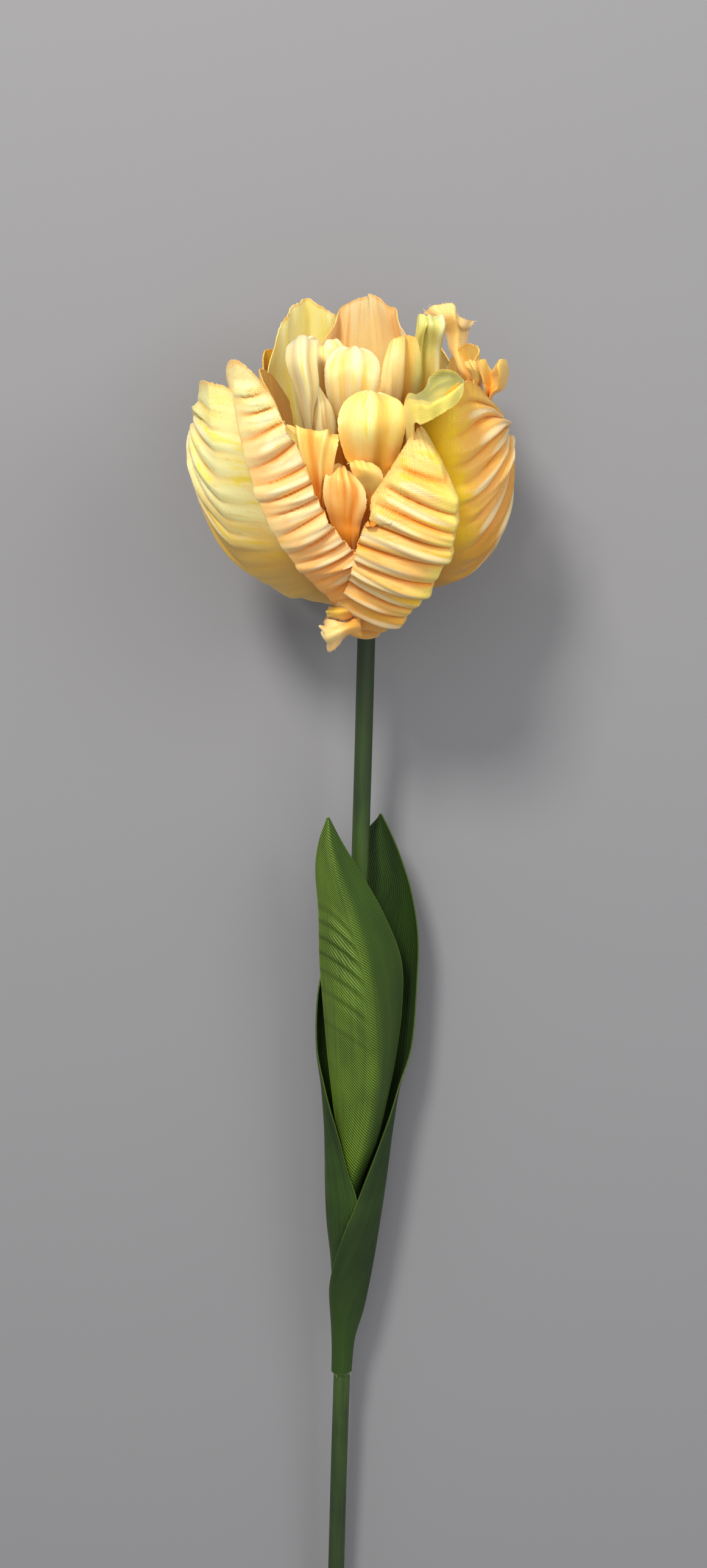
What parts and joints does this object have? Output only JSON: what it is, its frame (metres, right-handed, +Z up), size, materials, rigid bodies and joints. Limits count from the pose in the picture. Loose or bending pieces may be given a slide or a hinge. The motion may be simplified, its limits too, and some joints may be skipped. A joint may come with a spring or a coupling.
{
  "type": "artificial parrot tulip stem",
  "caption": "Artificial parrot tulip with crimped yellow and peach fabric petals, a green plastic stem and two fabric leaves, lying down.",
  "frame": {"origin": "middle of the bounding box's underside, on the surface that the flower head and the cut end of the stem rest on", "axes": "+Y along the stem towards the flower head, +Z up from the surface towards the side of the flower that faces the viewer, +X to the viewer's right"},
  "size_m": [0.0964, 0.595, 0.0955],
  "materials": {
    "petal_fabric": "satin",
    "stem_plastic": "matte",
    "wire": "satin",
    "leaf_light": "satin",
    "leaf_dark": "satin"
  },
  "bodies": {
    "root": {"bloom": "petal_fabric", "stem": "stem_plastic", "stem_wire": "wire", "leaf_front": "leaf_light", "leaf_rear": "leaf_dark"}
  },
  "joints": []
}
